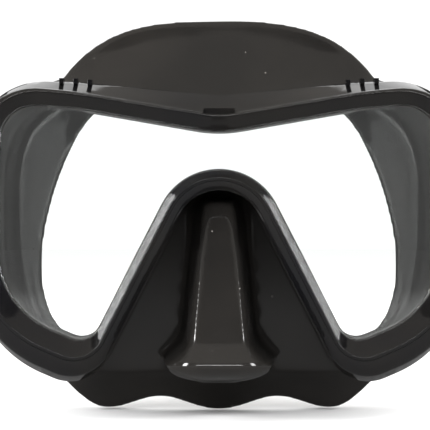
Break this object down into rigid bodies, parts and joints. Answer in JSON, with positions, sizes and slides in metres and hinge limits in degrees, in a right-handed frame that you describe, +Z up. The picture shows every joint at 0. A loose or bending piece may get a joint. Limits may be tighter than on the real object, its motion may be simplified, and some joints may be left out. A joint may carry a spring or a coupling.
{
  "type": "diving mask",
  "caption": "Single-pane diving mask with a black frame, a silicone skirt with a nose pocket, and a split rubber strap on quick-release buckles.",
  "frame": {"origin": "on the middle plane at the depth of the skirt's face seal, mount face_seal", "axes": "+X to the wearer's left, +Y from the glass towards the head, +Z up"},
  "size_m": [0.1896, 0.1612, 0.1421],
  "materials": {
    "frame_plastic": "glossy",
    "buckle_plastic": "satin",
    "lens_glass": "clear",
    "skirt_silicone": "glossy",
    "strap_rubber": "satin",
    "pin_steel": "brushed"
  },
  "bodies": {
    "mask": {"main_frame": "frame_plastic", "bezel_ring": "frame_plastic", "bezel_key": "frame_plastic", "lens": "lens_glass", "skirt": "skirt_silicone", "pivot_pin_left": "pin_steel", "pivot_pin_right": "pin_steel"},
    "head_strap": {"strap": "strap_rubber", "buckle_body_left": "buckle_plastic", "buckle_body_right": "buckle_plastic", "buckle_cover_left": "frame_plastic", "buckle_cover_right": "frame_plastic", "cover_screws_left": "pin_steel", "cover_screws_right": "pin_steel", "button_spring_left": "skirt_silicone", "button_spring_right": "skirt_silicone", "roller_pin_left": "pin_steel", "roller_pin_right": "pin_steel", "strap_keeper_left": "strap_rubber", "strap_keeper_right": "strap_rubber"},
    "roller_left": {"strap_roller_left": "buckle_plastic"},
    "button_left": {"release_button_left": "buckle_plastic"},
    "roller_right": {"strap_roller_right": "buckle_plastic"},
    "button_right": {"release_button_right": "buckle_plastic"}
  },
  "joints": [
    {"name": "strap_swing", "type": "hinge", "parent": "mask", "child": "head_strap", "pos_m": [0, -0.021, 0.005], "axis": [1, 0, 0], "range_deg": [-45, 15]},
    {"name": "roller_spin_left", "type": "hinge", "parent": "head_strap", "child": "roller_left", "pos_m": [0.087, 0.00184, 0.01517], "axis": [0, -0.4067, 0.9135], "continuous": true},
    {"name": "button_press_left", "type": "slide", "parent": "head_strap", "child": "button_left", "axis": [-1, 0, 0], "range_m": [0, 0.0016], "stiffness_N_per_m": 900, "springref_m": -0.0012, "deforming": ["button_spring_left"]},
    {"name": "roller_spin_right", "type": "hinge", "parent": "head_strap", "child": "roller_right", "pos_m": [-0.087, 0.00184, 0.01517], "axis": [0, -0.4067, 0.9135], "continuous": true},
    {"name": "button_press_right", "type": "slide", "parent": "head_strap", "child": "button_right", "axis": [1, 0, 0], "range_m": [0, 0.0016], "stiffness_N_per_m": 900, "springref_m": -0.0012, "deforming": ["button_spring_right"]}
  ]
}
